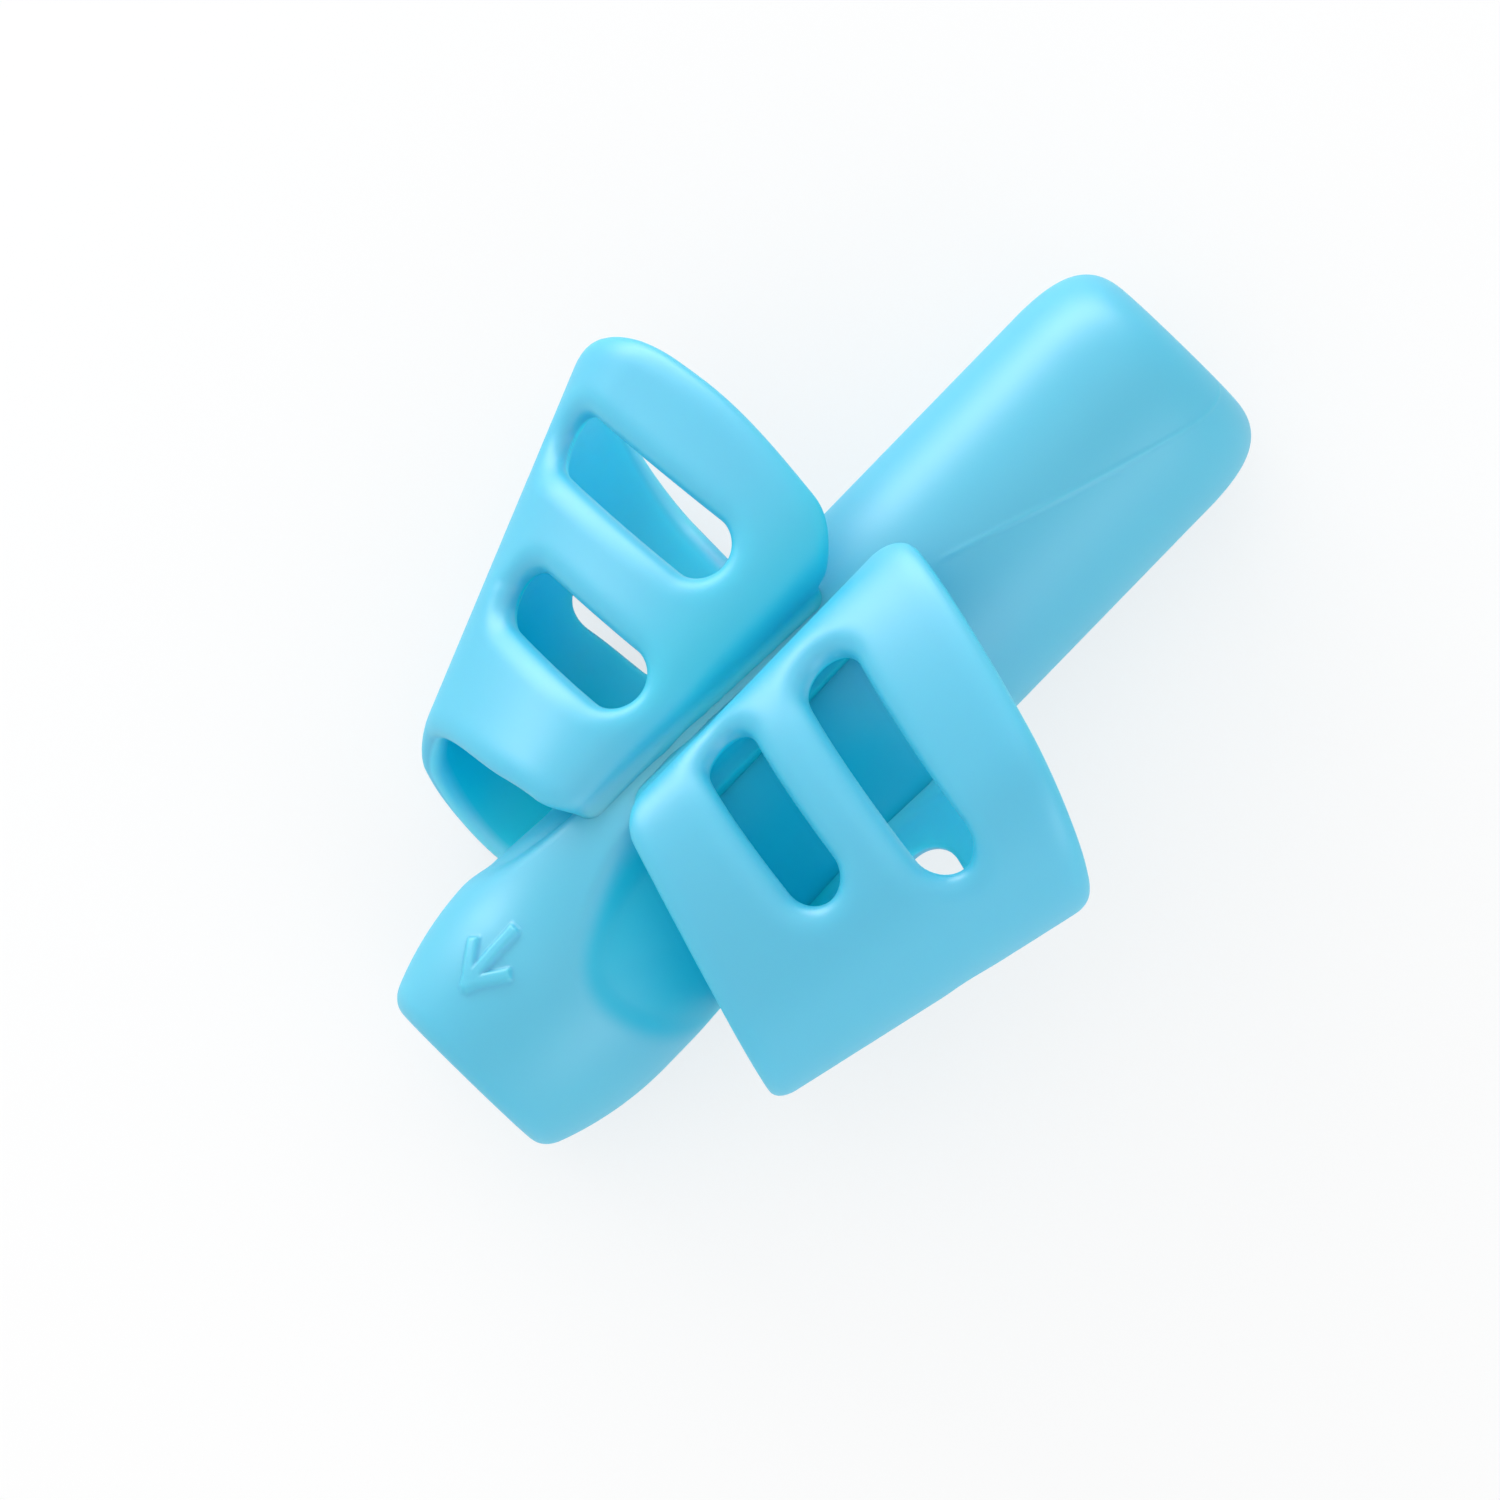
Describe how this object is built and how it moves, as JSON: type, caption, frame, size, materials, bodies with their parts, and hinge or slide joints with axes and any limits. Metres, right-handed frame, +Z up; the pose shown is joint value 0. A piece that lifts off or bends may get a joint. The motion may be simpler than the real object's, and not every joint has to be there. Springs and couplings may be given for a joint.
{
  "type": "pencil grip",
  "caption": "Soft silicone pencil grip: a bored barrel with a vented, flared finger sleeve on each side, for the index finger and the thumb.",
  "frame": {"origin": "centre of the bore at the nose face, the end nearest the writing point", "axes": "+X along the bore from the nose to the tail, +Z up as the grip lies on a table on its barrel and its index sleeve, +Y level, to the index sleeve's side"},
  "size_m": [0.051, 0.0406, 0.0232],
  "materials": {
    "silicone": "matte"
  },
  "bodies": {
    "barrel": {"barrel": "silicone"},
    "index_sleeve": {"index_sleeve": "silicone"},
    "thumb_sleeve": {"thumb_sleeve": "silicone"}
  },
  "joints": [
    {"name": "index_flex", "type": "hinge", "parent": "barrel", "child": "index_sleeve", "pos_m": [0.022, 0, 0], "axis": [-1, 0, 0], "range_deg": [0, 8], "stiffness_Nm_per_rad": 0.03},
    {"name": "thumb_flex", "type": "hinge", "parent": "barrel", "child": "thumb_sleeve", "pos_m": [0.022, 0, 0], "axis": [1, 0, 0], "range_deg": [0, 8], "stiffness_Nm_per_rad": 0.03}
  ]
}
